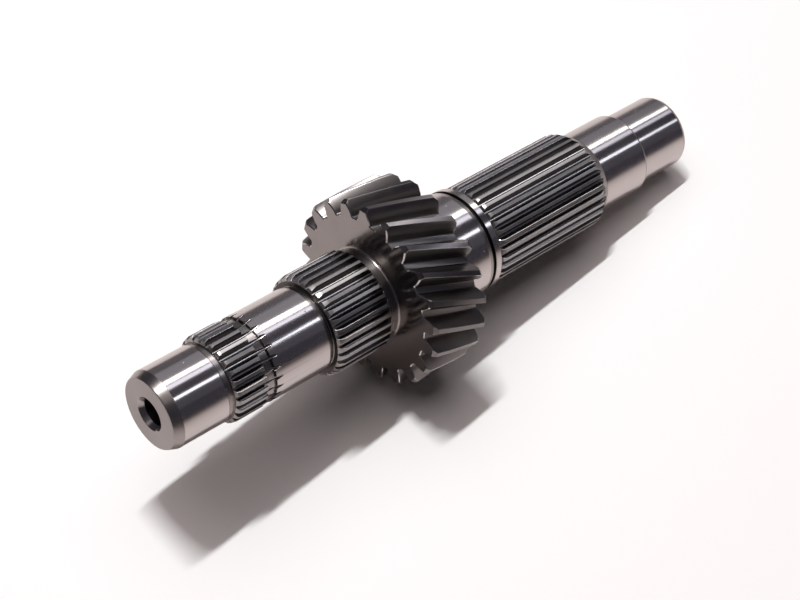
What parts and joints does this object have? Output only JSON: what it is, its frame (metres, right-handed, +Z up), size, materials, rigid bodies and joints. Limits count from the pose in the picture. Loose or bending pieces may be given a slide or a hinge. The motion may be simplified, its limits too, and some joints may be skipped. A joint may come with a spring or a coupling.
{
  "type": "countershaft",
  "caption": "Steel gearbox shaft turned from one piece, with a helical gear, splined sections, ground bearing journals, ring grooves and a hole in one end.",
  "frame": {"origin": "on the ground under the middle of the shaft as it rests, at the centre of the bounding box's bottom", "axes": "+Z up, +X along the shaft's level direction towards the far end with the long spline, which is the lower end; the shaft slopes down by 9.3 degrees"},
  "size_m": [0.2162, 0.0622, 0.0643],
  "materials": {
    "steel": "ground journals, satin turned faces, slightly textured teeth"
  },
  "bodies": {
    "root": {"countershaft": "steel"}
  },
  "joints": []
}
